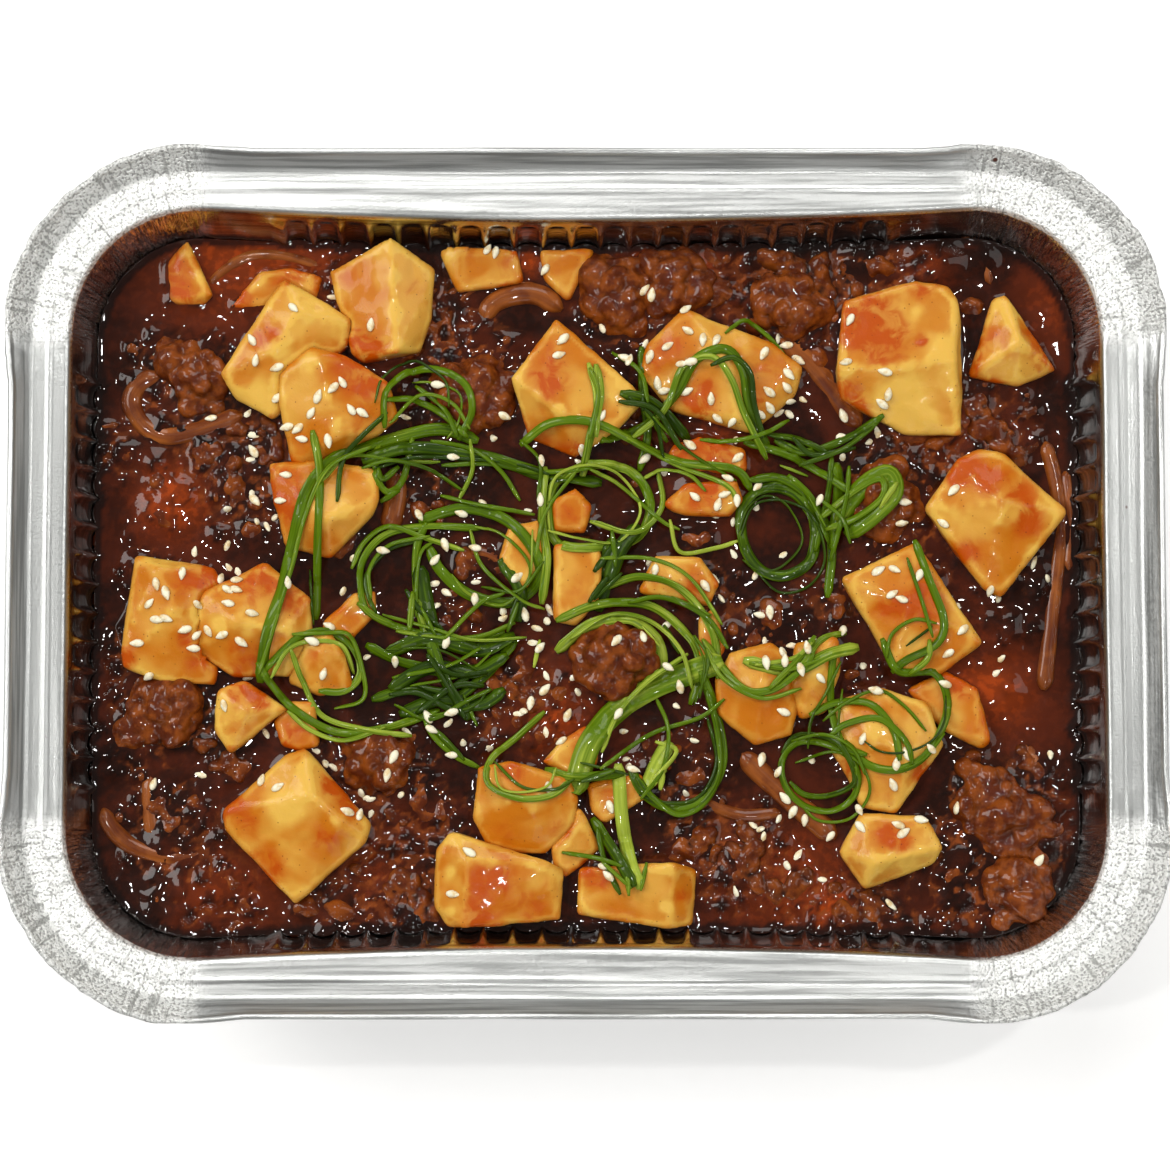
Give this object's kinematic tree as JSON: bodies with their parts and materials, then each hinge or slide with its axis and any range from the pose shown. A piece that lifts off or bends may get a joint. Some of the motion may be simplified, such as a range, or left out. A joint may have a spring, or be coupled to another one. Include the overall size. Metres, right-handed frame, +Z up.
{
  "type": "foil tray meal",
  "caption": "Rectangular fluted foil tray filled with tofu cubes and minced meat in a dark sauce, with onion, shredded spring onion and sesame seeds.",
  "frame": {"origin": "on the resting plane, under the middle of the tray", "axes": "+X along the tray's long side, +Y across it (the far side in the picture), +Z up out of the tray"},
  "size_m": [0.2616, 0.1976, 0.0503],
  "materials": {
    "foil": "bright crinkled foil",
    "sauce": "wet gloss",
    "tofu": "moist satin",
    "mince": "wet and rough",
    "onion": "wet and slightly see-through",
    "spring_onion": "fresh leaf satin"
  },
  "bodies": {
    "root": {"foil_tray": "foil", "sauce": "sauce", "spring_onion": "spring_onion", "tofu_01": "tofu", "tofu_02": "tofu", "tofu_03": "tofu", "tofu_04": "tofu", "tofu_05": "tofu", "tofu_06": "tofu", "tofu_07": "tofu", "tofu_08": "tofu", "tofu_09": "tofu", "tofu_10": "tofu", "tofu_11": "tofu", "tofu_12": "tofu", "tofu_13": "tofu", "tofu_14": "tofu", "tofu_15": "tofu", "tofu_16": "tofu", "tofu_17": "tofu", "tofu_18": "tofu", "tofu_19": "tofu", "tofu_20": "tofu", "tofu_21": "tofu", "tofu_22": "tofu", "tofu_23": "tofu", "tofu_24": "tofu", "tofu_25": "tofu", "tofu_26": "tofu", "tofu_27": "tofu", "tofu_28": "tofu", "tofu_29": "tofu", "tofu_30": "tofu", "tofu_31": "tofu", "tofu_32": "tofu", "tofu_33": "tofu", "tofu_34": "tofu", "tofu_35": "tofu", "tofu_36": "tofu", "tofu_37": "tofu", "tofu_38": "tofu", "tofu_39": "tofu", "mince_01": "mince", "mince_02": "mince", "mince_03": "mince", "mince_04": "mince", "mince_05": "mince", "mince_06": "mince", "mince_07": "mince", "mince_08": "mince", "mince_09": "mince", "mince_10": "mince", "mince_11": "mince", "onion_01": "onion", "onion_02": "onion", "onion_03": "onion", "onion_04": "onion", "onion_05": "onion", "onion_06": "onion", "onion_07": "onion"}
  },
  "joints": []
}
